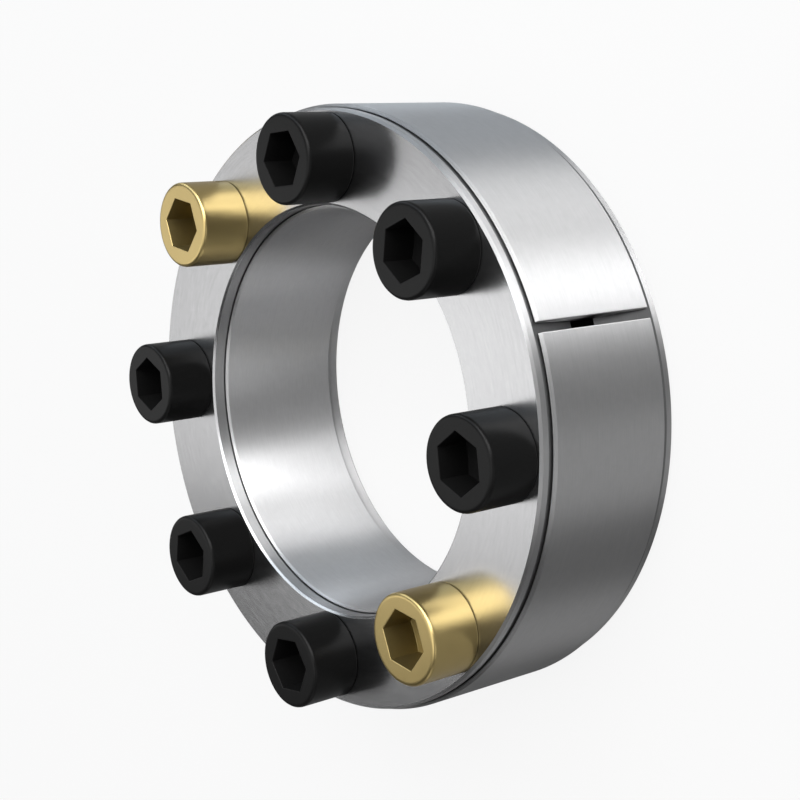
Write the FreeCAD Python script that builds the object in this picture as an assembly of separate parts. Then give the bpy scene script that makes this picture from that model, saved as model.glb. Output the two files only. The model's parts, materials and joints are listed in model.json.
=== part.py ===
"""Shaft locking assembly, in millimetres.

Two pressure rings are drawn together by eight screws.  Their tapers press a split
inner ring onto the shaft and a split outer ring into the hub.  The ring pack stands
on the rear pressure ring: z = 0 is its rear face, +Z points to the screw heads, and
the origin is on the shaft's axis.
"""
import FreeCAD, Part
import math
import os

# Ring pack
shaft_d = 60.0             # bore of the inner ring
split_room = 7.0           # radial room that the split rings and the webs need beside a screw
pack_width = 25.4          # over both pressure rings
taper_deg = 13.0           # half angle of every cone
taper_play = 0.2           # radial gap between facing cones before the screws are tightened

# Pressure rings
ring_gap = 4.4             # between the thin ends of the two pressure rings
rim_clearance = 0.55       # radial, from the rim to the hub's bore
rim_width = 1.35           # straight rim ahead of the outer cone
rim_chamfer = 0.35
bore_clearance = 0.6       # radial, from the shaft to the bore
bore_lip_width = 2.0       # straight bore ahead of the inner cone
bore_chamfer = 0.3

# Split rings
outer_gap = 0.75           # between a rim and the end of the outer ring
outer_chamfer = 0.33
inner_recess = 2.2         # from a pressure ring's face to the end of the inner ring
inner_chamfer = 0.27
chamfer_limit = 0.7        # most of an end's wall that its chamfer takes
ridge_land = 2.0           # cylindrical land where the two cones of a split ring meet
slit_width = 1.4
slit_edge = 0.12           # broken edge along a slit

# Screws
screw_count = 8
screw_inset = 0.1          # from the middle of the radial section in to the bolt circle
thread_d = 8.0
thread_recess = 3.4        # from the rear face to the screws' ends
tip_chamfer = 0.75
head_d = 13.0
head_height = 8.0
head_round = 0.5
socket_flats = 7.5
socket_depth = 5.0
socket_cone_deg = 15.0     # slope of the socket's floor
socket_turn_deg = [38.0, 23.4, 6.7, 52.4, 35.4, 23.3, 8.2, 52.9]
marker_numbers = [3, 7]    # yellow screws, over the jacking holes, counted as the turns above

# Holes
clearance_play = 0.2       # radial
thread_play = 0.05         # radial
tapped_mouth_depth = 0.55
jacking_play = 0.25        # radial, in the core of the larger thread that pushes the rings apart
jacking_mouth_depth = 0.85
overcut = 1.0              # how far a cutter reaches past the faces that it opens

AXIS = FreeCAD.Vector(0, 0, 1)
ORIGIN = FreeCAD.Vector(0, 0, 0)
slope = math.tan(math.radians(taper_deg))
section = thread_d + split_room
shaft_r = shaft_d / 2
hub_r = shaft_r + section
pitch_r = shaft_r + section / 2 - screw_inset
bore_r = shaft_r + bore_clearance
rim_r = hub_r - rim_clearance
pressure_depth = (pack_width - ring_gap) / 2
ridge = (pack_width - ridge_land) / 2
screw_length = pack_width - thread_recess
screw_step_deg = 360 / screw_count


def outer_cone_r(t):
    """Radius of a pressure ring's outer cone at the depth t from its outer face."""
    return rim_r - (t - rim_width) * slope


def inner_cone_r(t):
    """Radius of a pressure ring's inner cone at the depth t from its outer face."""
    return bore_r + (t - bore_lip_width) * slope


def turned(outline):
    """Solid of revolution about Z from a closed outline of (radius, height) points."""
    points = [FreeCAD.Vector(r, 0, z) for r, z in outline]
    face = Part.Face(Part.makePolygon(points + points[:1]))
    return face.revolve(ORIGIN, AXIS, 360)


def drill(radius, bottom, top, place):
    """Round cutter on the bolt circle, from one height to another."""
    tool = Part.makeCylinder(radius, top - bottom, FreeCAD.Vector(pitch_r, 0, bottom))
    return turned_to(tool, place)


def mouth(radius, depth, face_z, inward, place):
    """Countersink cutter of 45 degrees; inward is +1 where the hole goes up from the face."""
    base = FreeCAD.Vector(pitch_r, 0, face_z)
    tool = Part.makeCone(radius + depth, radius, depth, base, AXIS * inward)
    return turned_to(tool, place)


def turned_to(shape, place):
    """Turn a shape that stands at the first screw round to another screw's place."""
    shape.rotate(ORIGIN, AXIS, place * screw_step_deg)
    return shape


def pressure_ring_outline():
    """Section of a pressure ring, with its outer face at z = 0 and its thin end up."""
    return [
        (bore_r + bore_chamfer, 0),
        (rim_r - rim_chamfer, 0),
        (rim_r, rim_chamfer),
        (rim_r, rim_width),
        (outer_cone_r(pressure_depth), pressure_depth),
        (inner_cone_r(pressure_depth), pressure_depth),
        (bore_r, bore_lip_width),
        (bore_r, bore_chamfer),
    ]


def rear_pressure_ring():
    """The ring that the screws thread into."""
    ring = turned(pressure_ring_outline())
    hole_r = thread_d / 2 + thread_play
    for place in range(screw_count):
        ring = ring.cut(drill(hole_r, -overcut, pressure_depth + overcut, place))
        ring = ring.cut(mouth(hole_r, tapped_mouth_depth, 0, 1, place))
    return ring


def front_pressure_ring():
    """The ring under the screw heads, with two jacking holes among its clearance holes."""
    outline = [(r, pack_width - z) for r, z in pressure_ring_outline()]
    ring = turned(outline)
    low = pack_width - pressure_depth - overcut
    for place in range(screw_count):
        play = jacking_play if place in marker_numbers else clearance_play
        hole_r = thread_d / 2 + play
        ring = ring.cut(drill(hole_r, low, pack_width + overcut, place))
        if place in marker_numbers:
            ring = ring.cut(mouth(hole_r, jacking_mouth_depth, pack_width, -1, place))
    return ring


def mirrored_outline(lower_half):
    """Add the mirror image about the pack's middle to the lower half of an outline."""
    upper_half = [(r, pack_width - z) for r, z in reversed(lower_half)]
    return lower_half + upper_half


def slit_cutter(wall_r, into, angle_deg):
    """Cutter for a slit along Z through one wall, with the edges at wall_r broken.

    into is -1 where the wall lies inside wall_r and +1 where it lies outside.
    """
    half = slit_width / 2
    far_r = wall_r + into * section
    outline = [
        (wall_r - into * slit_edge, half + 2 * slit_edge),
        (wall_r + into * slit_edge, half),
        (far_r, half),
        (far_r, -half),
        (wall_r + into * slit_edge, -half),
        (wall_r - into * slit_edge, -half - 2 * slit_edge),
    ]
    points = [FreeCAD.Vector(x, y, -overcut) for x, y in outline]
    face = Part.Face(Part.makePolygon(points + points[:1]))
    tool = face.extrude(AXIS * (pack_width + 2 * overcut))
    tool.rotate(ORIGIN, AXIS, angle_deg)
    return tool


def outer_ring():
    """Split ring that opens into the hub: cylindrical outside, double taper inside.

    Its slit lies midway between two screws.
    """
    end = rim_width + outer_gap
    end_r = outer_cone_r(end) + taper_play
    chamfer = min(outer_chamfer, chamfer_limit * (hub_r - end_r))
    lower_half = [
        (outer_cone_r(ridge) + taper_play, ridge),
        (end_r, end),
        (hub_r - chamfer, end),
        (hub_r, end + chamfer),
    ]
    ring = turned(mirrored_outline(lower_half))
    return ring.cut(slit_cutter(hub_r, -1, screw_step_deg / 2))


def inner_ring():
    """Split ring that closes on the shaft: plain bore, double taper outside.

    Its slit lies one screw away from the outer ring's.
    """
    end = inner_recess
    end_r = inner_cone_r(end) - taper_play
    chamfer = min(inner_chamfer, chamfer_limit * (end_r - shaft_r))
    lower_half = [
        (inner_cone_r(ridge) - taper_play, ridge),
        (end_r, end),
        (shaft_r + chamfer, end),
        (shaft_r, end + chamfer),
    ]
    ring = turned(mirrored_outline(lower_half))
    return ring.cut(slit_cutter(shaft_r, 1, -screw_step_deg / 2))


def screw_body():
    """Head and shank, turned about Z with the underside of the head at z = 0."""
    thread_r = thread_d / 2
    head_r = head_d / 2
    tip = tip_chamfer
    corner = head_round * (1 - math.sqrt(0.5))
    points = {
        "tip": (0, -screw_length),
        "tip_edge": (thread_r - tip, -screw_length),
        "thread": (thread_r, tip - screw_length),
        "neck": (thread_r, 0),
        "seat": (head_r, 0),
        "side": (head_r, head_height - head_round),
        "bend": (head_r - corner, head_height - corner),
        "top": (head_r - head_round, head_height),
        "centre": (0, head_height),
    }
    at = {name: FreeCAD.Vector(r, 0, z) for name, (r, z) in points.items()}
    straight = ["tip", "tip_edge", "thread", "neck", "seat", "side"]
    edges = [Part.makeLine(at[a], at[b]) for a, b in zip(straight, straight[1:])]
    edges.append(Part.Arc(at["side"], at["bend"], at["top"]).toShape())
    edges.append(Part.makeLine(at["top"], at["centre"]))
    edges.append(Part.makeLine(at["centre"], at["tip"]))
    return Part.Face(Part.Wire(edges)).revolve(ORIGIN, AXIS, 360)


def socket_cutter(turn_deg):
    """Hexagonal socket with a floor that falls to the middle."""
    corner_r = socket_flats / math.sqrt(3)
    floor_z = head_height - socket_depth
    fall = corner_r * math.tan(math.radians(socket_cone_deg))
    points = []
    for side in range(6):
        angle = math.radians(turn_deg + 60 * side)
        x = corner_r * math.cos(angle)
        y = corner_r * math.sin(angle)
        points.append(FreeCAD.Vector(x, y, floor_z - fall))
    face = Part.Face(Part.makePolygon(points + points[:1]))
    prism = face.extrude(AXIS * (socket_depth + fall + overcut))
    floor = Part.makeCone(0, corner_r, fall, FreeCAD.Vector(0, 0, floor_z - fall))
    above = Part.makeCylinder(corner_r, socket_depth + overcut, FreeCAD.Vector(0, 0, floor_z))
    return prism.common(floor.fuse(above))


def socket_screw(place):
    """One cap screw, seated on the front pressure ring."""
    turn_deg = socket_turn_deg[place % len(socket_turn_deg)]
    screw = screw_body().cut(socket_cutter(turn_deg - place * screw_step_deg))
    screw.translate(FreeCAD.Vector(pitch_r, 0, pack_width))
    return turned_to(screw, place)


def screw_names():
    """Node name of the screw at each place, counted round from +X."""
    names = []
    for place in range(screw_count):
        kind = "marker_screw" if place in marker_numbers else "clamp_screw"
        number = 1 + sum(name.startswith(kind) for name in names)
        names.append(f"{kind}_{number}")
    return names


def main():
    os.makedirs("parts", exist_ok=True)
    pieces = {
        "rear_pressure_ring": rear_pressure_ring(),
        "front_pressure_ring": front_pressure_ring(),
        "outer_ring": outer_ring(),
        "inner_ring": inner_ring(),
    }
    for place, name in enumerate(screw_names()):
        pieces[name] = socket_screw(place)
    for name, shape in pieces.items():
        shape.exportStep(f"parts/{name}.step")


main()
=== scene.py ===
"""Looks of the shaft locking assembly, in metres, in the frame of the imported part.

The ring pack stands on its rear pressure ring, with +Z along the bore to the screw heads.
Each ring and screw is a surface gathered from grids: their rows follow a section, and their
columns go round the axis of the piece or of a hole.
"""
import json
import math

import bmesh
import bpy
import numpy as np
from mathutils import Matrix, Vector

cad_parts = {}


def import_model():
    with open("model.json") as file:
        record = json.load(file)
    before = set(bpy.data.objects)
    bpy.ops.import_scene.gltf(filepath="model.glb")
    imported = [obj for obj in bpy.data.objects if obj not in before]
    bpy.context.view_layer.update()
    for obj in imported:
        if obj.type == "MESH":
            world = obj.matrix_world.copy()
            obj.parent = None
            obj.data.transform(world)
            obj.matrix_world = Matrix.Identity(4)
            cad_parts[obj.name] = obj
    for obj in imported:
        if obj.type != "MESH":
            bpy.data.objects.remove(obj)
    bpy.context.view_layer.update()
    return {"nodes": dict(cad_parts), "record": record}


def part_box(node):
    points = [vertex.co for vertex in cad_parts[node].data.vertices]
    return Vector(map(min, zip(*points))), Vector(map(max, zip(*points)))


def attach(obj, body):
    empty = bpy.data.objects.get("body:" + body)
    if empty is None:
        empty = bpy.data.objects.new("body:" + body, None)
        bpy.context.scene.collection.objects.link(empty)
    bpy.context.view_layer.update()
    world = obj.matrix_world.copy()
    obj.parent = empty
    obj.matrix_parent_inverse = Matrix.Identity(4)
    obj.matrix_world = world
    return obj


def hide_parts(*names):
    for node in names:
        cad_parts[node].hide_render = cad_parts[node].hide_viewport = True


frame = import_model()

MM = 0.001
TURN = 2 * math.pi
mounts = {mount["name"]: mount for mount in frame["record"]["mounts"]}


def turn_of(node):
    """Angle about the bore's axis at which a CAD node stands, from +X round to a full turn."""
    middle = (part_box(node)[0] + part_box(node)[1]) / 2
    return round(math.atan2(middle.y, middle.x), 3) % TURN


# Sizes that the frame gives.  The first clamp screw stands on +X.
shaft_r = mounts["shaft_bore"]["dims"]["r_mm"] * MM
hub_r = mounts["hub_seat"]["dims"]["r_mm"] * MM
rim_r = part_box("front_pressure_ring")[1].x
front_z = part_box("front_pressure_ring")[1].z
pressure_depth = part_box("rear_pressure_ring")[1].z
outer_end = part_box("outer_ring")[0].z
inner_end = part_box("inner_ring")[0].z
head_top_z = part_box("clamp_screw_1")[1].z
tip_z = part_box("clamp_screw_1")[0].z
head_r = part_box("clamp_screw_1")[1].y
pitch_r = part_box("clamp_screw_1")[1].x - head_r
screws = sorted((name for name in frame["nodes"] if "screw" in name), key=turn_of)
screw_step = TURN / len(screws)

# Sections of the rings
taper = math.tan(math.radians(13.0))
taper_play = 0.2 * MM
rim_width = 1.35 * MM
rim_chamfer = 0.35 * MM
bore_r = shaft_r + 0.6 * MM
bore_lip = 2.0 * MM
bore_chamfer = 0.3 * MM
ridge_land = 2.0 * MM
ridge_z = (front_z - ridge_land) / 2
outer_chamfer = 0.33 * MM
inner_chamfer = 0.27 * MM
edge_round = 0.07 * MM
split_end_round = 0.6 * edge_round
slit_half = 0.7 * MM
slit_edge = 0.10 * MM
slit_turn = math.radians(22.5)

# Holes
clearance_r = 4.2 * MM
jacking_r = 4.25 * MM
jacking_mouth = 0.85 * MM
tapped_mouth = 0.55 * MM + edge_round

# Threads.  Each form is its gap, its lowest and its highest radius.
thread_r = 4.0 * MM
thread_pitch = 1.25 * MM
thread_gap = 0.03 * MM
vee = thread_pitch * math.sqrt(3) / 2
pitch_line_r = thread_r - 0.325 * thread_pitch
tapped_form = (thread_gap, thread_r - 0.52 * thread_pitch, thread_r)
screw_form = (-thread_gap, thread_r - 0.60 * thread_pitch, thread_r - thread_gap)
edge_blend = 0.02          # half the width of a crest's or root's edge, in pitches
run_out = 2 * thread_pitch
spare_turns = 2            # turns of rows past a thread's ends, cut off there

# Screws
neck_r = thread_r - thread_gap
neck_length = 1.0 * MM
neck_round = 0.05 * MM
point_r = thread_r - 0.75 * MM
head_round = 0.5 * MM
seat_round = 0.25 * MM
socket_r = 7.5 * MM / math.sqrt(3)
socket_depth = 5.0 * MM
socket_slope = math.tan(math.radians(15.0))
socket_lip = 0.06 * MM
collar_r = 1.1 * socket_r  # circle of the head's top that lies closest round the socket
socket_turn_deg = [38.0, 23.4, 6.7, 52.4, 35.4, 23.3, 8.2, 52.9]

# Fineness of the grids
ring_steps = 48            # round one screw's share of a ring
hole_side_steps = 10       # across a ring's face, between two screws
arc_steps = 4              # round a corner of a section
hex_side_steps = 16        # along one side of a socket
face_shares = np.array([0.0, 0.02, 0.3, 0.65, 0.98, 1.0])     # from a hole's edge outwards
floor_shares = np.array([0.0, 0.08, 0.5, 0.9, 0.985, 1.0])    # from a socket's middle outwards
wall_shares = [0.5, 0.98, 1.0]                                # up a socket's side
tip_shares = [1.0, 0.97, 0.5, 0.0]                            # from a tip's edge inwards
lip_steps = [(0, 1), (0.3, 0.3), (1, 0), (2, 0)]              # out of and below a socket's lip
least_round = 0.15         # share of a corner's rounding that a smaller section keeps
pin_share = 0.4            # share of an arc's reach at which a point keeps its side flat
least_bend = 1e-6          # sides that bend less than this, in radians, have no corner
weld = 0.0002 * MM

# Places of the finishes in a piece's list of materials
GROUND, CONE, TURNED, HONED = range(4)
BODY, SOCKET = range(2)


def outer_cone_r(depth):
    """Radius of a pressure ring's outer cone at a depth from its outer face."""
    return rim_r - (depth - rim_width) * taper


def inner_cone_r(depth):
    """Radius of a pressure ring's inner cone at a depth from its outer face."""
    return bore_r + (depth - bore_lip) * taper


def rounded(corners, closed=True, shrink=0.0):
    """Section with its corners rounded, as rows of (radius, height).

    Each corner is (radius, height, rounding).  Every side first moves inwards by shrink,
    which takes a corner to P - shrink (n1 + n2) / (1 + n1.n2), with n1 and n2 the outward
    normals of its sides.  An arc of the rounding less shrink then joins the sides, centred
    on their bisector, and one more point on each side keeps the flat beside it flat.  The
    corners go round the section with the metal on the left.
    """
    points = np.array([corner[:2] for corner in corners])
    back = points - np.roll(points, 1, axis=0)
    back /= np.linalg.norm(back, axis=1)[:, None]
    ahead = np.roll(back, -1, axis=0)
    if not closed:
        back[0] = ahead[0]
        ahead[-1] = back[-1]
    normal_back = np.c_[back[:, 1], -back[:, 0]]
    normal_ahead = np.c_[ahead[:, 1], -ahead[:, 0]]
    share = 1 + (normal_back * normal_ahead).sum(axis=1)
    points = points - shrink * (normal_back + normal_ahead) / share[:, None]
    rows = []
    for point, before, after, corner in zip(points, back, ahead, corners):
        radius = max(corner[2] - shrink, least_round * corner[2])
        bend = math.atan2(before[0] * after[1] - before[1] * after[0], before @ after)
        if radius == 0 or abs(bend) < least_bend:
            rows.append(point)
            continue
        reach = abs(radius * math.tan(bend / 2))
        pin = pin_share * min(reach, radius)
        start = point - before * reach
        centre = start + math.copysign(radius, bend) * np.array([-before[1], before[0]])
        arm = start - centre
        angle = np.linspace(0, bend, arc_steps + 1)[:, None]
        arc = centre + np.cos(angle) * arm + np.sin(angle) * np.array([-arm[1], arm[0]])
        rows += [start - before * pin, *arc, point + after * (reach + pin)]
    return np.array(rows)


def grid_faces(rows, columns, first=0, close_columns=False):
    """Quads of a grid whose points are numbered row by row."""
    row = np.arange(rows - 1)[:, None]
    column = np.arange(columns if close_columns else columns - 1)[None, :]
    after = (column + 1) % columns
    quads = np.stack([
        row * columns + column,
        row * columns + after,
        (row + 1) * columns + after,
        (row + 1) * columns + column,
    ], axis=-1)
    return quads.reshape(-1, 4) + first


class Surface:
    """Points and faces of one piece, gathered from grids and welded into a mesh."""

    def __init__(self):
        self.points = []
        self.faces = []
        self.finishes = []
        self.count = 0

    def add_grid(self, points, close_columns=False, finish=0):
        """Add a grid given as an array of (row, column, xyz)."""
        rows, columns = points.shape[:2]
        faces = grid_faces(rows, columns, self.count, close_columns).tolist()
        self.points.append(points.reshape(-1, 3))
        self.faces += faces
        self.finishes += [finish] * len(faces)
        self.count += rows * columns

    def add_cap(self, loop):
        """Add one flat face round a loop of points."""
        self.points.append(loop)
        self.faces.append(list(range(self.count, self.count + len(loop))))
        self.finishes.append(0)
        self.count += len(loop)

    def make(self, name, materials):
        """Weld the grids where they meet, turn the faces outwards and make the object."""
        mesh = bpy.data.meshes.new(name)
        mesh.from_pydata(np.concatenate(self.points).tolist(), [], self.faces)
        for material in materials:
            mesh.materials.append(material)
        mesh.polygons.foreach_set("material_index", np.array(self.finishes, np.int32))
        shape = bmesh.new()
        shape.from_mesh(mesh)
        bmesh.ops.remove_doubles(shape, verts=shape.verts, dist=weld)
        bmesh.ops.recalc_face_normals(shape, faces=shape.faces)
        shape.to_mesh(mesh)
        shape.free()
        mesh.shade_smooth()
        piece = bpy.data.objects.new(name, mesh)
        bpy.context.scene.collection.objects.link(piece)
        return piece


def about_axis(radius, angles, heights):
    """Grid of points (r cos a, r sin a, h) about Z."""
    radius, angles, heights = np.broadcast_arrays(radius, angles, heights)
    return np.stack([radius * np.cos(angles), radius * np.sin(angles), heights], axis=-1)


def turn_to(points, place):
    """Turn points about Z from the first screw's place to another's."""
    c = math.cos(place * screw_step)
    s = math.sin(place * screw_step)
    return points @ np.array([[c, s, 0], [-s, c, 0], [0, 0, 1]])


def on_screw(radius, angles, heights, place):
    """Grid of points about a screw's axis, worked out on +X and turned to its place."""
    return turn_to(about_axis(radius, angles, heights) + [pitch_r, 0, 0], place)


def full_turn(angles):
    """Growing angles from the first one on, ending with the first one a turn later."""
    angles = np.unwrap(angles)
    return np.append(angles, angles[0] + TURN)


def thread_radius(form, angles, heights):
    """Radius of a right-hand 60 degree thread at an angle and a height.

    The phase p is the fractional part of height / pitch - angle / turn.  The radius is
    pitch radius + vee (|2p - 1| - 1/2) + gap, kept between the form's low and high.
    """
    gap, low, high = form
    phase = (heights / thread_pitch - angles / TURN) % 1.0
    radius = pitch_line_r + vee * (np.abs(2 * phase - 1) - 0.5) + gap
    return np.clip(radius, low, high)


def thread_rows(form, angles, bottom, top):
    """Heights of a thread's grid rows, as (row, column).

    Each row keeps one phase, so it climbs a pitch in a turn, and is cut off at the ends.
    There are two rows at every crest and root edge, where |2p - 1| is
    1/2 + (limit - gap - pitch radius) / vee.
    """
    gap, low, high = form
    edges = [0.5 + (limit - gap - pitch_line_r) / vee for limit in (low, high)]
    edge_phases = np.array([(1 + side * edge) / 2 for edge in edges for side in (-1, 1)])
    phases = np.sort((edge_phases[:, None] + [-edge_blend, edge_blend]).ravel() % 1.0)
    first = math.floor(bottom / thread_pitch) - spare_turns
    last = math.ceil(top / thread_pitch) + spare_turns
    rows = (np.arange(first, last)[:, None] + phases).ravel()[:, None]
    return np.clip((rows + angles / TURN) * thread_pitch, bottom, top)


def sector_outline(inner, outer):
    """Outline of one screw's share of an annulus, about the +X axis, as rows of (x, y).

    It runs along the outer arc, in along one side, back along the inner arc and out
    along the other side, each in even steps.
    """
    half = screw_step / 2
    sweep = np.linspace(-half, half, ring_steps + 1)[:-1]
    side = np.linspace(outer, inner, hole_side_steps + 1)[:-1]
    outer_arc, inner_arc = np.full_like(sweep, outer), np.full_like(sweep, inner)
    radius = np.concatenate([outer_arc, side, inner_arc, inner + outer - side])
    angle = np.concatenate([sweep, np.full_like(side, half), -sweep, np.full_like(side, -half)])
    return np.c_[radius * np.cos(angle), radius * np.sin(angle)]


def drilled_face(surface, inner, outer, height, hole_r, place):
    """Flat annulus share round one hole.

    Each ray runs from the hole's centre to a point of the outline at the distance L, and
    the grid's rows lie on it at hole radius + share (L - hole radius).  Returns the rays'
    angles, with the first one again at the end.
    """
    arm = sector_outline(inner, outer) - [pitch_r, 0]
    length = np.linalg.norm(arm, axis=1)
    angles = np.arctan2(arm[:, 1], arm[:, 0])
    radius = hole_r + face_shares[:, None] * (length - hole_r)
    surface.add_grid(on_screw(radius, angles, height, place), close_columns=True)
    return full_turn(angles)


def plain_wall(hole_r, mouth):
    """Radii and heights down a hole of the front ring, opened out at both ends."""
    depths = [0, mouth, mouth + edge_round, pressure_depth - edge_round, pressure_depth]
    radii = [hole_r + mouth, hole_r, hole_r, hole_r, hole_r + edge_round]
    return np.array(radii)[:, None], front_z - np.array(depths)[:, None]


def tapped_wall(angles, face_r, thin_r):
    """Radii and heights up a tapped hole of the rear ring.

    The thread gives way to cones of 45 degrees at its ends, of the radius face_r - height
    at the rear face and thin_r - (depth - height) at the thin end.
    """
    heights = thread_rows(tapped_form, angles, 0, pressure_depth)
    radii = thread_radius(tapped_form, angles, heights)
    radii = np.maximum(radii, face_r - heights)
    radii = np.maximum(radii, thin_r - (pressure_depth - heights))
    return radii, heights


def pressure_section():
    """Outer and inner half of a pressure ring's section, outer face at height 0."""
    face_middle = (pitch_r, 0, 0)
    thin_middle = (pitch_r, pressure_depth, 0)
    outer = rounded([
        face_middle,
        (rim_r - rim_chamfer, 0, edge_round),
        (rim_r, rim_chamfer, edge_round),
        (rim_r, rim_width, edge_round),
        (outer_cone_r(pressure_depth), pressure_depth, edge_round),
        thin_middle,
    ], closed=False)[1:-1]
    inner = rounded([
        thin_middle,
        (inner_cone_r(pressure_depth), pressure_depth, edge_round),
        (bore_r, bore_lip, edge_round),
        (bore_r, bore_chamfer, edge_round),
        (bore_r + bore_chamfer, 0, edge_round),
        face_middle,
    ], closed=False)[1:-1]
    return outer, inner


def row_at(section, height):
    """Number of the section's row that is nearest to a height."""
    return int(np.argmin(np.abs(section[:, 1] - height)))


def pressure_ring(name, is_front, materials):
    """Full ring between two cones: each half of its section turned about Z.

    The rear ring's holes are tapped and countersunk.  The front ring's are plain, and
    wider and countersunk under the marker screws.
    """
    surface = Surface()
    outer, inner = pressure_section()
    outer_edge = row_at(outer, rim_width)
    inner_edge = row_at(inner, bore_lip)
    lip_edge = row_at(inner, bore_chamfer)
    face_z, thin_z = 0.0, pressure_depth
    if is_front:
        outer = outer * [1, -1] + [0, front_z]
        inner = inner * [1, -1] + [0, front_z]
        face_z, thin_z = front_z, front_z - pressure_depth
    bands = [
        (outer[:outer_edge + 1], TURNED),
        (outer[outer_edge:], CONE),
        (inner[:inner_edge + 1], CONE),
        (inner[inner_edge:lip_edge + 1], TURNED if is_front else HONED),
        (inner[lip_edge:], GROUND),
    ]
    count = ring_steps * len(screws)
    ring_angles = np.arange(count) * TURN / count - screw_step / 2
    for rows, finish in bands:
        grid = about_axis(rows[:, :1], ring_angles, rows[:, 1:])
        surface.add_grid(grid, close_columns=True, finish=finish)
    for place, node in enumerate(screws):
        if not is_front:
            hole_r, mouth = thread_r, tapped_mouth
        elif node.startswith("marker"):
            hole_r, mouth = jacking_r, jacking_mouth
        else:
            hole_r, mouth = clearance_r, edge_round
        face_r = hole_r + mouth
        thin_r = hole_r + edge_round
        angles = drilled_face(surface, inner[-1, 0], outer[0, 0], face_z, face_r, place)
        drilled_face(surface, inner[0, 0], outer[-1, 0], thin_z, thin_r, place)
        if is_front:
            radii, heights = plain_wall(hole_r, mouth)
        else:
            radii, heights = tapped_wall(angles + place * screw_step, face_r, thin_r)
        surface.add_grid(on_screw(radii, angles, heights, place))
    return surface.make(name, materials)


def split_ring(name, lower_half, slit_angle, materials):
    """Turned ring with a slit of even width.

    A column at distance d from the slit's wall lies at the angle asin((half + d) / r) of
    its own radius, and its section shrinks by edge - sqrt(edge^2 - (edge - d)^2), which
    rounds the slit's edges.
    """
    upper_half = [(r, front_z - z, rounding) for r, z, rounding in reversed(lower_half)]
    corners = lower_half + upper_half
    bend = np.linspace(0, math.pi / 2, arc_steps + 1)
    distances = slit_edge * (1 - np.cos(bend))
    shrinks = slit_edge * (1 - np.sin(bend))
    edge = np.stack([rounded(corners, shrink=shrink) for shrink in shrinks], axis=1)
    edge_angles = np.arcsin((slit_half + distances) / edge[..., 0])
    section = rounded(corners)
    first = np.arcsin((slit_half + 2 * slit_edge) / section[:, :1])
    shares = np.linspace(0, 1, ring_steps * len(screws))
    middle = np.repeat(section[:, None], len(shares), axis=1)
    middle_angles = first + shares * (TURN - 2 * first)
    points = np.concatenate([edge, middle, edge[:, ::-1]], axis=1)
    angles = np.concatenate([edge_angles, middle_angles, -edge_angles[:, ::-1]], axis=1)
    grid = about_axis(points[..., 0], angles + slit_angle, points[..., 1])
    surface = Surface()
    surface.add_grid(np.concatenate([grid, grid[:1]]))
    surface.add_cap(grid[:, 0])
    surface.add_cap(grid[:, -1])
    return surface.make(name, materials)


def outer_ring(materials):
    """Split ring that opens into the hub: cylindrical outside, double taper inside."""
    lower_half = [
        (outer_cone_r(ridge_z) + taper_play, ridge_z, edge_round),
        (outer_cone_r(outer_end) + taper_play, outer_end, split_end_round),
        (hub_r - outer_chamfer, outer_end, split_end_round),
        (hub_r, outer_end + outer_chamfer, edge_round),
    ]
    return split_ring("outer_ring_steel", lower_half, slit_turn, materials)


def inner_ring(materials):
    """Split ring that closes on the shaft: plain bore, double taper outside."""
    lower_half = [
        (shaft_r, inner_end + inner_chamfer, edge_round),
        (shaft_r + inner_chamfer, inner_end, split_end_round),
        (inner_cone_r(inner_end) - taper_play, inner_end, split_end_round),
        (inner_cone_r(ridge_z) - taper_play, ridge_z, edge_round),
    ]
    return split_ring("inner_ring_steel", lower_half, -slit_turn, materials)


def hexagon(turn):
    """Points round a socket's hexagon, as (direction angles, radii).

    On each side they lie at the shares (1 - cos t) / 2, with t from 0 to half a turn, and
    so closer near the corners.
    """
    corner = turn + math.pi / 3 * np.arange(7)
    corners = socket_r * np.c_[np.cos(corner), np.sin(corner)]
    share = (1 - np.cos(np.linspace(0, math.pi, hex_side_steps + 1)))[:-1, None] / 2
    sides = [a + share * (b - a) for a, b in zip(corners[:-1], corners[1:])]
    points = np.concatenate(sides)
    return np.arctan2(points[:, 1], points[:, 0]), np.linalg.norm(points, axis=1)


def socket_rows(hexes, top):
    """Rows of (radius, height) from the middle of a socket's floor up to its lip.

    Each row is a scaled copy of the hexagon, and the floor at the radius r lies
    socket depth + slope (corner radius - r) below the head's top.
    """
    floor_radii = floor_shares[:, None] * hexes
    floor_heights = top - socket_depth - (socket_r - floor_radii) * socket_slope
    edge = floor_heights[-1]
    wall = [edge + share * (top - socket_lip - edge) for share in wall_shares]
    rows = list(zip(floor_radii, floor_heights))
    return rows + [(hexes, height) for height in (edge + socket_lip, *wall)]


def head_rows(hexes, top):
    """Rows of (radius, height) from a socket's lip over the head and down to the neck."""
    rows = [(hexes + out * socket_lip, top - below * socket_lip) for out, below in lip_steps]
    side = rounded([
        (neck_r, -neck_length, 0),
        (neck_r, 0, neck_round),
        (head_r, 0, seat_round),
        (head_r, top, head_round),
        (collar_r, top, 0),
    ], closed=False)
    return rows + list(side[::-1])


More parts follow.
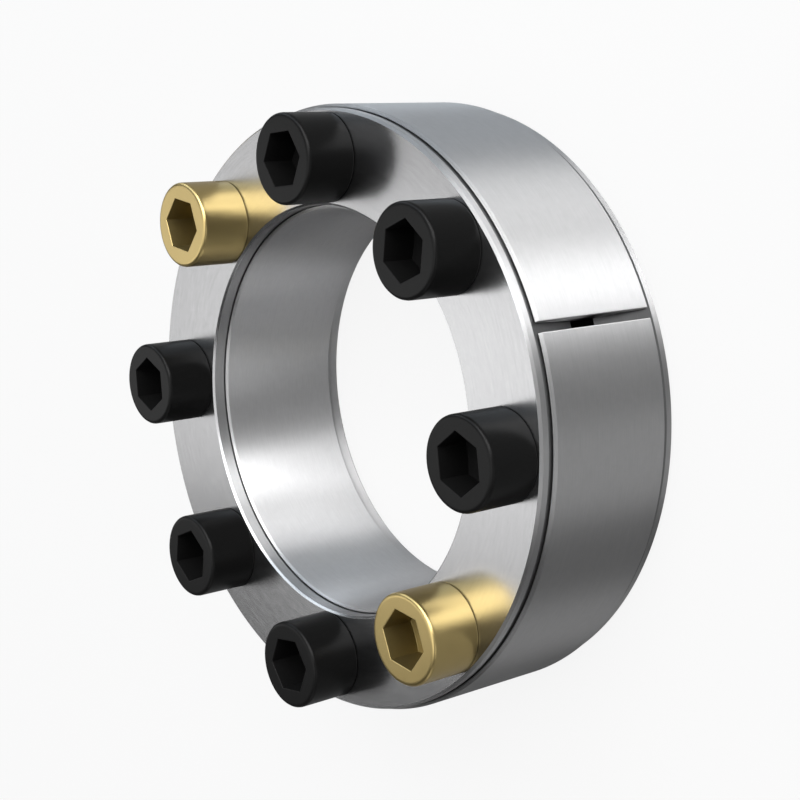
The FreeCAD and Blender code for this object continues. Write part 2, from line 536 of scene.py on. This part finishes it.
def screw(name, place, materials):
    """Socket head cap screw, as a recess, a head, a tip and a thread.

    The first three are rows with points at one set of angles, those of the hexagon, and
    are scaled hexagons inside the socket and circles elsewhere.  The thread's rows climb
    along its helix.  It runs out to the neck, and its end is cut to a cone.
    """
    angles, hexes = hexagon(math.radians(socket_turn_deg[place]) - place * screw_step)
    top = head_top_z - front_z
    tip = [(share * point_r, tip_z - front_z) for share in tip_shares]
    parts = [(socket_rows(hexes, top), SOCKET), (head_rows(hexes, top), BODY), (tip, BODY)]
    surface = Surface()
    for rows, finish in parts:
        radii = np.stack([radius + 0 * hexes for radius, height in rows])
        heights = np.stack([height + 0 * hexes for radius, height in rows])
        grid = on_screw(radii, angles, front_z + heights, place)
        surface.add_grid(grid, close_columns=True, finish=finish)
    around = full_turn(angles)
    thread_end = front_z - neck_length
    heights = thread_rows(screw_form, around + place * screw_step, tip_z, thread_end)
    radii = thread_radius(screw_form, around + place * screw_step, heights)
    depth_share = np.minimum(1.0, (thread_end - heights) / run_out)
    radii = neck_r - depth_share * (neck_r - radii)
    radii = np.minimum(radii, point_r + heights - tip_z)
    surface.add_grid(on_screw(radii, around, heights, place))
    return surface.make(name, materials)


class Wire:
    """A shader socket that takes part in Python sums, each adding its Math node."""

    def __init__(self, tree, socket):
        self.tree = tree
        self.socket = socket

    def other(self, name):
        """Another output of the same node."""
        return Wire(self.tree, self.socket.node.outputs[name])

    def math(self, operation, first, second):
        """Math node on two values, one of which is this socket."""
        return add_node(self.tree, "ShaderNodeMath", {"operation": operation}, [first, second])

    def __add__(self, other):
        return self.math("ADD", self, other)

    def __radd__(self, other):
        return self.math("ADD", other, self)

    def __mul__(self, other):
        return self.math("MULTIPLY", self, other)

    def __rmul__(self, other):
        return self.math("MULTIPLY", other, self)

    def __truediv__(self, other):
        return self.math("DIVIDE", self, other)

    def __rtruediv__(self, other):
        return self.math("DIVIDE", other, self)

    def __pow__(self, other):
        return self.math("POWER", self, other)

    def __rpow__(self, other):
        return self.math("POWER", other, self)


def add_node(tree, kind, settings=None, inputs=None, output=0):
    """Add a node, set it up, then feed its sockets with values or Wires."""
    node = tree.nodes.new(kind)
    for key, value in (settings or {}).items():
        setattr(node, key, value)
    pairs = inputs.items() if isinstance(inputs, dict) else enumerate(inputs or [])
    for key, value in pairs:
        if isinstance(value, Wire):
            tree.links.new(value.socket, node.inputs[key])
        else:
            node.inputs[key].default_value = value
    return Wire(tree, node.outputs[output]) if len(node.outputs) else None


def new_material(name):
    """Empty material and its tree."""
    material = bpy.data.materials.new(name)
    material.use_nodes = True
    material.node_tree.nodes.clear()
    return material, material.node_tree


def vector_of(tree, *parts):
    """One vector from three Wires."""
    return add_node(tree, "ShaderNodeCombineXYZ", inputs=parts)


def place_in_mm(tree):
    """Object coordinates as three Wires, in millimetres."""
    position = add_node(tree, "ShaderNodeTexCoord", output="Object")
    split = add_node(tree, "ShaderNodeSeparateXYZ", inputs=[position])
    return [split.other(axis) * (1 / MM) for axis in "XYZ"]


def noise(tree, vector, scale, detail, roughness):
    """Noise from 0 to 1 about 0.5."""
    inputs = {"Vector": vector, "Scale": scale, "Detail": detail, "Roughness": roughness}
    return add_node(tree, "ShaderNodeTexNoise", inputs=inputs)


def blend_colour(tree, factor, a, b):
    """Colour between a and b, on the Mix node's colour sockets."""
    inputs = {0: factor, 6: (*a, 1), 7: (*b, 1)}
    return add_node(tree, "ShaderNodeMix", {"data_type": "RGBA"}, inputs, output=2)


def finish_material(tree, inputs):
    """Principled shader with the given sockets, linked to the output."""
    shader = add_node(tree, "ShaderNodeBsdfPrincipled", inputs=inputs)
    add_node(tree, "ShaderNodeOutputMaterial", inputs=[shader])


def spread_about(middle, mask, spread):
    """Value that runs from half the spread below the middle to half above it."""
    return mask * spread + (middle - spread / 2)


def turned_steel(name, roughness, anisotropy, dark, light):
    """Steel with fine lathe marks round the axis, and a faint mottle.

    The marks are noise at (k x / r, k y / r, f (r + lean z)), which is slow round the
    axis and fast across it, on faces, cones and cylinders alike.  The quarter turn of
    the anisotropy stretches highlights across the marks.
    """
    k = 10.0
    f = 4.0
    lean = 2.1
    marks_share = 0.7
    marks_depth = 0.01 * MM
    material, tree = new_material(name)
    x, y, z = place_in_mm(tree)
    radius = (x * x + y * y) ** 0.5
    along = vector_of(tree, x / radius * k, y / radius * k, (radius + z * lean) * f)
    marks = noise(tree, along, scale=1.0, detail=3.0, roughness=0.6)
    mottle = noise(tree, vector_of(tree, x, y, z), scale=0.9, detail=2.0, roughness=0.5)
    mask = marks * marks_share + mottle * (1 - marks_share)
    bump_inputs = {"Strength": 0.12, "Distance": marks_depth, "Height": marks}
    finish_material(tree, {
        "Base Color": blend_colour(tree, mask, dark, light),
        "Metallic": 1.0,
        "Roughness": spread_about(roughness, mask, spread=0.08),
        "Anisotropic": anisotropy,
        "Anisotropic Rotation": 0.25,
        "Normal": add_node(tree, "ShaderNodeBump", inputs=bump_inputs),
    })
    return material


def black_oxide(name, roughness, gloss):
    """Blackened steel: nearly black, with a soft grey sheen and a fine grain."""
    darkest = (0.003, 0.003, 0.003)
    lightest = (0.007, 0.007, 0.007)
    material, tree = new_material(name)
    place = vector_of(tree, *place_in_mm(tree))
    grain = noise(tree, place, scale=4.0, detail=3.0, roughness=0.6)
    finish_material(tree, {
        "Base Color": blend_colour(tree, grain, darkest, lightest),
        "Metallic": 0.0,
        "Roughness": spread_about(roughness, grain, spread=0.10),
        "Specular IOR Level": gloss,
    })
    return material


def yellow_zinc(name, roughness, dark, light):
    """Yellow passivated zinc: warm metal with slow shifts between two tones."""
    material, tree = new_material(name)
    place = vector_of(tree, *place_in_mm(tree))
    drift = noise(tree, place, scale=0.16, detail=2.0, roughness=0.5)
    grain = noise(tree, place, scale=5.0, detail=3.0, roughness=0.6)
    finish_material(tree, {
        "Base Color": blend_colour(tree, drift, dark, light),
        "Metallic": 1.0,
        "Roughness": spread_about(roughness, grain, spread=0.10),
    })
    return material


def dress():
    """Make every piece, and let it stand for its CAD node."""
    ground = turned_steel(
        "ground_steel", roughness=0.24, anisotropy=0.35,
        dark=(0.34, 0.34, 0.344), light=(0.50, 0.50, 0.505),
    )
    # Darker copy of the turned steel for the cones: painted shade for the cone seen in the gap
    # between the front ring's rim and the outer ring.
    cone_shade_steel = turned_steel(
        "cone_steel_painted_shade", roughness=0.34, anisotropy=0.35,
        dark=(0.20, 0.20, 0.202), light=(0.28, 0.28, 0.282),
    )
    turned = turned_steel(
        "turned_steel", roughness=0.50, anisotropy=1.0,
        dark=(0.40, 0.40, 0.404), light=(0.55, 0.55, 0.555),
    )
    honed = turned_steel(
        "honed_steel", roughness=0.44, anisotropy=1.0,
        dark=(0.60, 0.60, 0.606), light=(0.78, 0.78, 0.788),
    )
    straw = yellow_zinc(
        "yellow_zinc_finish", roughness=0.33,
        dark=(0.46, 0.355, 0.15), light=(0.56, 0.43, 0.185),
    )
    # Darker, rougher copy of the yellow zinc for the sockets: painted shade in the recess.
    shaded = yellow_zinc(
        "zinc_socket_painted_shade", roughness=0.50,
        dark=(0.22, 0.175, 0.075), light=(0.30, 0.235, 0.10),
    )
    black = black_oxide("black_oxide_finish", roughness=0.33, gloss=0.11)
    # Rougher, less glossy copy of the black oxide for the sockets: painted shade in the recess,
    # where the lamps would light its walls.
    matt_shaded_black = black_oxide("socket_black_painted_shade", roughness=0.55, gloss=0.05)
    pressure_finishes = [ground, cone_shade_steel, turned, honed]
    screw_finishes = {
        "clamp": ([black, matt_shaded_black], "black_oxide"),
        "marker": ([straw, shaded], "yellow_zinc"),
    }
    front = pressure_ring("front_ring_steel", True, pressure_finishes)
    rear = pressure_ring("rear_ring_steel", False, pressure_finishes)
    pieces = [
        (front, "front_pressure_ring", "ring_steel"),
        (rear, "rear_pressure_ring", "ring_steel"),
        (outer_ring([turned]), "outer_ring", "ring_steel"),
        (inner_ring([honed]), "inner_ring", "ring_steel"),
    ]
    for place, node in enumerate(screws):
        materials, slot = screw_finishes[node.split("_")[0]]
        pieces.append((screw(f"{node}_threaded", place, materials), node, slot))
    for piece, node, slot in pieces:
        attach(piece, node)
        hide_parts(node)


def floor():
    """Pale floor that reads as white, with a share of the object's shadow kept.

    It mixes a glow with a matt grey, which takes the shadow.  The glow's share is the
    value shown for the camera and through anything clear, and the value mirrored for
    reflections on the object.
    """
    shown = 0.76
    mirrored = 0.05
    grey = 0.22
    glow_strength = 1.16
    half = 4.0
    material, tree = new_material("pale_floor")
    camera_ray = add_node(tree, "ShaderNodeLightPath", output="Is Camera Ray")
    glossy_ray = camera_ray.other("Is Glossy Ray")
    clear_ray = camera_ray.other("Is Transmission Ray")
    factor = camera_ray * shown + glossy_ray * mirrored + clear_ray * shown
    matt = add_node(tree, "ShaderNodeBsdfDiffuse", inputs={"Color": (grey, grey, grey, 1)})
    glow_inputs = {"Color": (1, 1, 1, 1), "Strength": glow_strength}
    glow = add_node(tree, "ShaderNodeEmission", inputs=glow_inputs)
    mixed = add_node(tree, "ShaderNodeMixShader", inputs=[factor, matt, glow])
    add_node(tree, "ShaderNodeOutputMaterial", inputs=[mixed])
    mesh = bpy.data.meshes.new("floor")
    corners = [(-half, -half, 0), (half, -half, 0), (half, half, 0), (-half, half, 0)]
    mesh.from_pydata(corners, [], [(0, 1, 2, 3)])
    mesh.materials.append(material)
    plane = bpy.data.objects.new("floor", mesh)
    bpy.context.scene.collection.objects.link(plane)


def world():
    """Faint studio light, paler near the horizon than overhead."""
    sky = bpy.data.worlds.new("studio")
    bpy.context.scene.world = sky
    sky.use_nodes = True
    tree = sky.node_tree
    tree.nodes.clear()
    direction = add_node(tree, "ShaderNodeTexCoord", output="Generated")
    rise = add_node(tree, "ShaderNodeSeparateXYZ", inputs=[direction], output="Z")
    ramp = {"Value": rise, "From Min": 0.1, "From Max": 0.5, "To Min": 0.20, "To Max": 0.05}
    strength = add_node(tree, "ShaderNodeMapRange", inputs=ramp)
    glow_inputs = {"Color": (1, 1, 1, 1), "Strength": strength}
    glow = add_node(tree, "ShaderNodeBackground", inputs=glow_inputs)
    add_node(tree, "ShaderNodeOutputWorld", inputs=[glow])


def lamp(name, azimuth, elevation, width, height, radiance, colour):
    """Soft lamp at one metre that faces the object; its power is pi times area and radiance."""
    a, e = math.radians(azimuth), math.radians(elevation)
    direction = Vector((math.cos(a) * math.cos(e), math.sin(a) * math.cos(e), math.sin(e)))
    light = bpy.data.lights.new(name, "AREA")
    light.shape = "RECTANGLE"
    light.size = width
    light.size_y = height
    light.energy = math.pi * width * height * radiance
    light.color = colour
    holder = bpy.data.objects.new(name, light)
    holder.location = direction + Vector((0, 0, front_z / 2))
    holder.rotation_mode = "QUATERNION"
    holder.rotation_quaternion = direction.to_track_quat("Z", "Y")
    bpy.context.scene.collection.objects.link(holder)


def lamps():
    """Two panels and a low lamp beside the camera, and cool lamps farther round that side.

    Weaker lamps stand in front, on the other side, overhead and behind.  Each line gives
    the name, azimuth and elevation in degrees, width and height in metres, radiance and
    colour.
    """
    neutral = (1.0, 1.0, 1.0)
    cool = (0.84, 0.92, 1.0)
    lamp("key panel", 45, 38, 0.48, 0.74, 6.0, neutral)
    lamp("second panel", 79, 40, 0.46, 0.74, 6.0, neutral)
    lamp("far panel", 112, 40, 0.34, 0.60, 2.3, cool)
    lamp("low key", 40, 12, 0.34, 0.25, 9.0, neutral)
    lamp("front low", 343, 14, 0.55, 0.30, 1.6, neutral)
    lamp("side low", 283, 20, 0.45, 0.50, 0.9, neutral)
    lamp("cool strip", 137, 25, 0.34, 0.80, 2.4, cool)
    lamp("overhead", 0, 80, 0.95, 0.95, 1.8, neutral)
    lamp("back", 196, 54, 0.32, 0.60, 1.60, neutral)
    lamp("back low", 184, 30, 0.40, 0.50, 1.05, neutral)


def camera():
    """Camera at the photograph's angle, rolled so that the bore runs across the frame."""
    place = Vector((189.37, 47.73, 170.56)) * MM
    forward = Vector((-0.752276, -0.188877, -0.631194))
    up = Vector((-0.143884, 0.982000, -0.122366))
    right = forward.cross(up)
    data = bpy.data.cameras.new("camera")
    data.lens = 73.92
    data.sensor_width = 36.0
    data.clip_start = 0.005
    data.clip_end = 20.0
    holder = bpy.data.objects.new("camera", data)
    turn = Matrix((right, up, -forward)).transposed()
    holder.matrix_world = Matrix.Translation(place) @ turn.to_4x4()
    bpy.context.scene.collection.objects.link(holder)
    bpy.context.scene.camera = holder


bpy.context.scene.view_settings.view_transform = "Standard"
dress()
floor()
world()
camera()
lamps()
